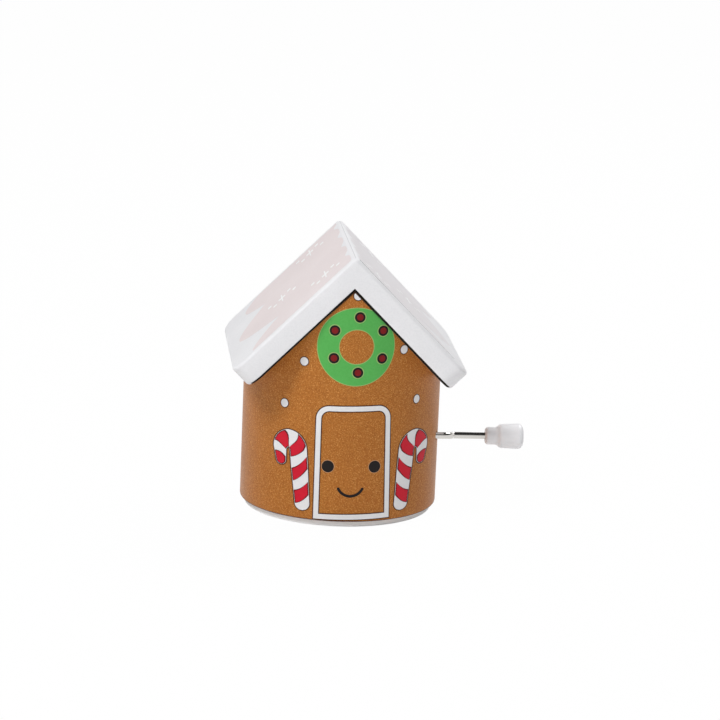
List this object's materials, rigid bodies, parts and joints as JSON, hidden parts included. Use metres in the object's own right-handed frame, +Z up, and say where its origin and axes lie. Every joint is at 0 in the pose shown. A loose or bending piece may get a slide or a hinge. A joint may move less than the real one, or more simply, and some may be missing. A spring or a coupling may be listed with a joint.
{
  "type": "hand-crank music box",
  "caption": "Hand-crank music box shaped as a round gingerbread house under a gable roof; a bent wire crank turns a pinned drum inside through a worm.",
  "frame": {"origin": "centre of the base plate's underside, on the surface that the box stands on", "axes": "+Z up, the printed front towards -Y, the crank out of the +X side"},
  "size_m": [0.099, 0.065, 0.0877],
  "materials": {
    "body_paint": "satin brown paint on turned wood, with a printed front",
    "roof_paint": "satin white paint on wooden boards, with a pale printed slope",
    "base_paint": "satin white paint on a wooden disc",
    "crank_steel": "bright nickel-plated steel wire",
    "knob_plastic": "white moulded plastic, lightly satin",
    "screw_steel": "zinc-plated steel",
    "bed_casting": "plated zinc die casting",
    "comb_steel": "ground spring steel",
    "weight_lead": "dull lead",
    "drum_brass": "polished brass",
    "gear_brass": "machined brass",
    "arbor_steel": "drawn steel",
    "bracket_steel": "bent sheet steel, plated"
  },
  "bodies": {
    "case": {"house_body": "body_paint", "roof_board_left": "roof_paint", "roof_board_right": "roof_paint", "base_plate": "base_paint", "base_screws": "screw_steel", "bedplate": "bed_casting", "movement_screws": "screw_steel", "comb": "comb_steel", "comb_screws": "screw_steel", "bass_weights": "weight_lead", "crank_bracket": "bracket_steel", "bracket_screws": "screw_steel"},
    "crank": {"crank_wire": "crank_steel", "crank_worm": "gear_brass"},
    "drum": {"drum_sleeve": "drum_brass", "drum_cap_front": "drum_brass", "drum_cap_back": "drum_brass", "drum_arbor": "arbor_steel", "drum_wheel": "gear_brass", "arbor_clips": "arbor_steel"},
    "knob": {"crank_knob": "knob_plastic"}
  },
  "joints": [
    {"name": "crank_turn", "type": "hinge", "parent": "case", "child": "crank", "pos_m": [0.032, -0.00853, 0.0251], "axis": [1, 0, 0], "continuous": true},
    {"name": "drum_turn", "type": "hinge", "parent": "case", "child": "drum", "pos_m": [0.00522, -0.00853, 0.0166], "axis": [0, 1, 0], "continuous": true},
    {"name": "knob_spin", "type": "hinge", "parent": "crank", "child": "knob", "pos_m": [0.04886, 0.00701, 0.02128], "axis": [1, 0, 0], "continuous": true}
  ],
  "couplings": [
    {"joint": "drum_turn", "follows": "crank_turn", "ratio": -0.041667}
  ]
}
